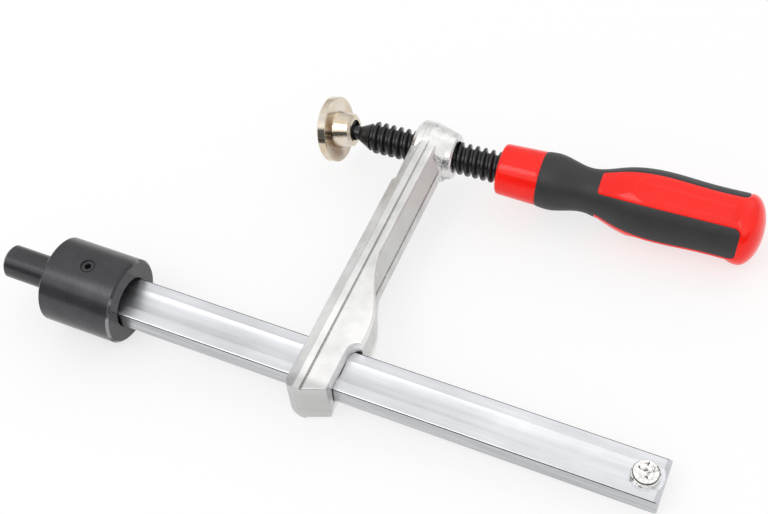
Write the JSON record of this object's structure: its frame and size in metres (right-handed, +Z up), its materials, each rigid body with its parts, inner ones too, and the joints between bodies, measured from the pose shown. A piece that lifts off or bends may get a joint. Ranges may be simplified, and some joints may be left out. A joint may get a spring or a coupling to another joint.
{
  "type": "bar clamp",
  "caption": "Screw bar clamp for a welding table: round table peg, collar, grooved bar, sliding arm, and a screw with swivel pad and two-colour handle.",
  "frame": {"origin": "centre of the shoulder that stands on the table top, at the root of the table pin", "axes": "+X along the bar away from the table, +Y from the bar to the screw, +Z up out of the side that the clamp lies on; the screw leans 2.6 degrees from the bar in the XY plane"},
  "size_m": [0.3257, 0.1766, 0.0404],
  "materials": {
    "zinc_bar": "zinc plated profile bar, brushed lengthwise",
    "black_oxide": "black oxide on turned steel, satin",
    "peened_steel": "bright steel, hammered over",
    "cast_arm": "forged steel, bright satin plating with a slight grain",
    "pad_metal": "pale champagne plating, polished",
    "spring_steel": "dark spring steel",
    "red_plastic": "glossy red hard plastic",
    "soft_grip": "matte charcoal soft overmould"
  },
  "bodies": {
    "bar_group": {"bar": "zinc_bar", "collar": "black_oxide", "table_pin": "black_oxide", "grub_screw": "black_oxide", "stop_rivet": "peened_steel"},
    "arm": {"sliding_arm": "cast_arm"},
    "ring": {"ball_snap_ring": "spring_steel"},
    "screw": {"spindle": "black_oxide", "handle_core": "red_plastic", "handle_grip": "soft_grip"},
    "pad": {"pressure_pad": "pad_metal"}
  },
  "joints": [
    {"name": "arm_slide", "type": "slide", "parent": "bar_group", "child": "arm", "axis": [1, 0, 0], "range_m": [-0.088, 0.1303]},
    {"name": "screw_feed", "type": "slide", "parent": "arm", "child": "ring", "axis": [0.999, 0.0454, 0], "range_m": [-0.0225, 0.0295]},
    {"name": "screw_turn", "type": "hinge", "parent": "ring", "child": "screw", "pos_m": [0.1262, 0.132, 0], "axis": [0.999, 0.0454, 0], "range_deg": [-2030, 2660]},
    {"name": "pad_tilt", "type": "hinge", "parent": "ring", "child": "pad", "pos_m": [0.08804, 0.13027, 0], "axis": [0.045, -0.992, 0.1182], "range_deg": [-29.1, 0.9]}
  ],
  "couplings": [
    {"joint": "screw_turn", "follows": "screw_feed", "rad_per_m": 1570.8}
  ]
}
